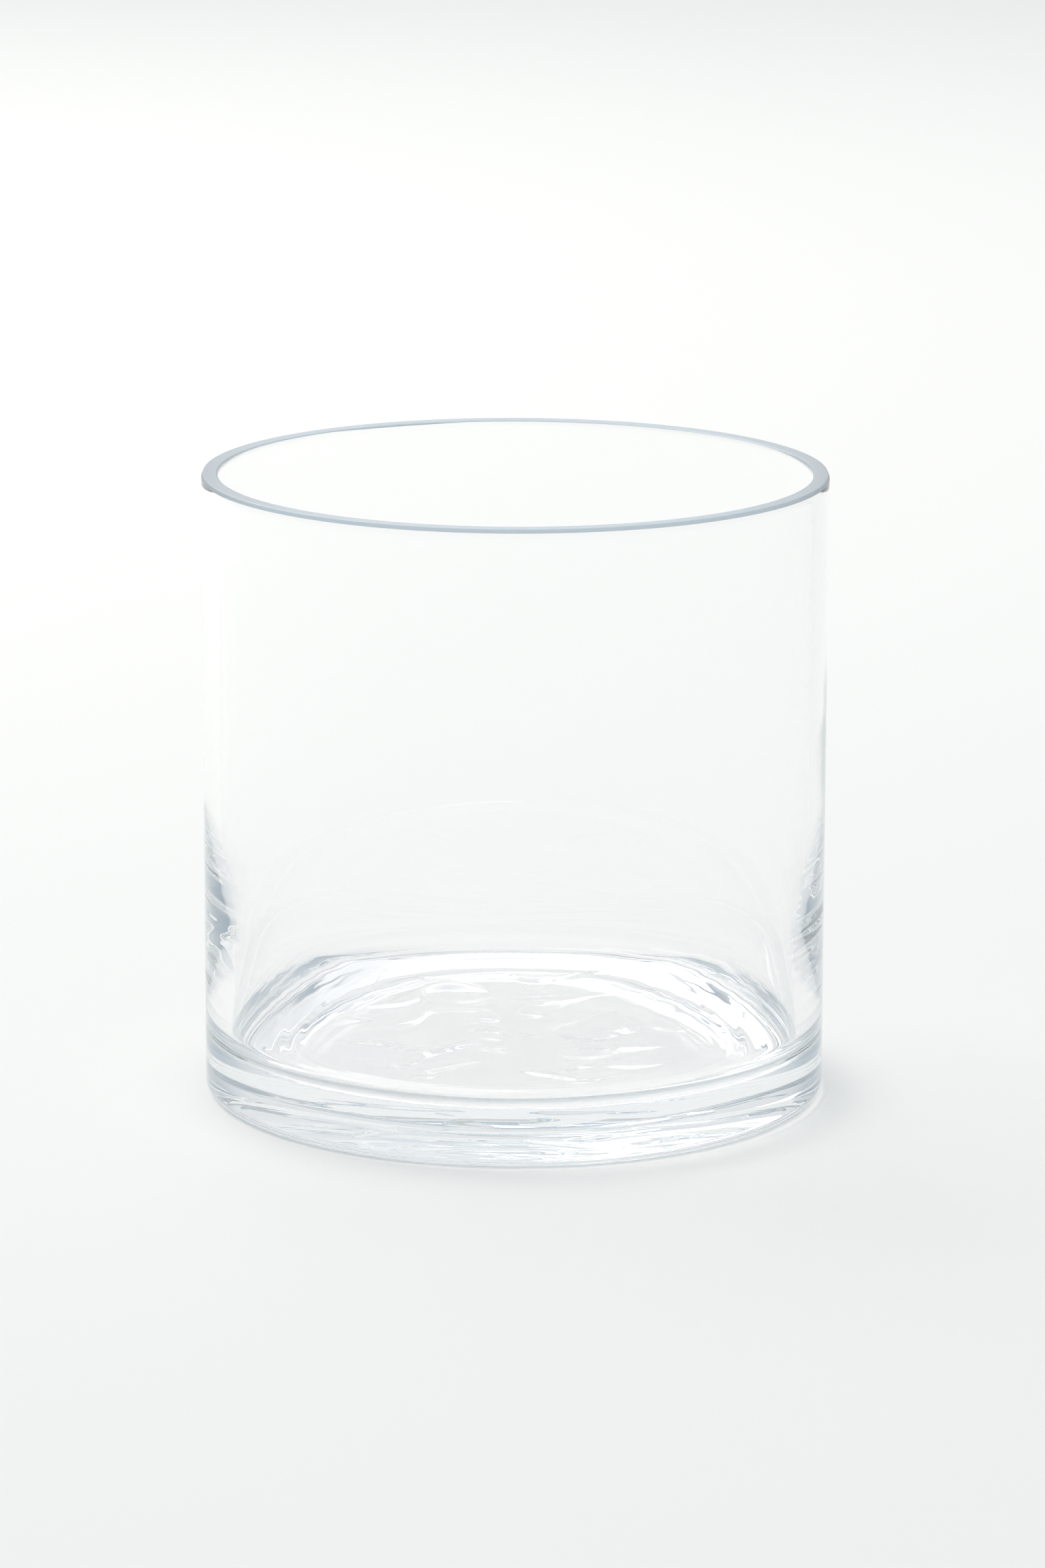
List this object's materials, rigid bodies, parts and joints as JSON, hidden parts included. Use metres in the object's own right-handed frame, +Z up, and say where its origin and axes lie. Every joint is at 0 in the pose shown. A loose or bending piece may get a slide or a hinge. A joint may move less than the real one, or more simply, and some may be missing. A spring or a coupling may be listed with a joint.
{
  "type": "cylinder vase",
  "caption": "Straight-sided clear glass cylinder vase with a heavy coved foot, a shallow push-up underneath and a flat ground mouth, for cut flowers in water.",
  "frame": {"origin": "centre of the standing ring, in the plane of the table", "axes": "+Z up the vase's axis towards the mouth; the vase is round, so X and Y are free"},
  "size_m": [0.198, 0.198, 0.2],
  "materials": {
    "clear_glass": "clear soda-lime glass, fire-smooth, faintly green in thickness",
    "ground_glass": "cut and ground flat, satin, edges eased"
  },
  "bodies": {
    "root": {"thick_base": "clear_glass", "glass_wall": "clear_glass", "ground_rim": "ground_glass"}
  },
  "joints": []
}
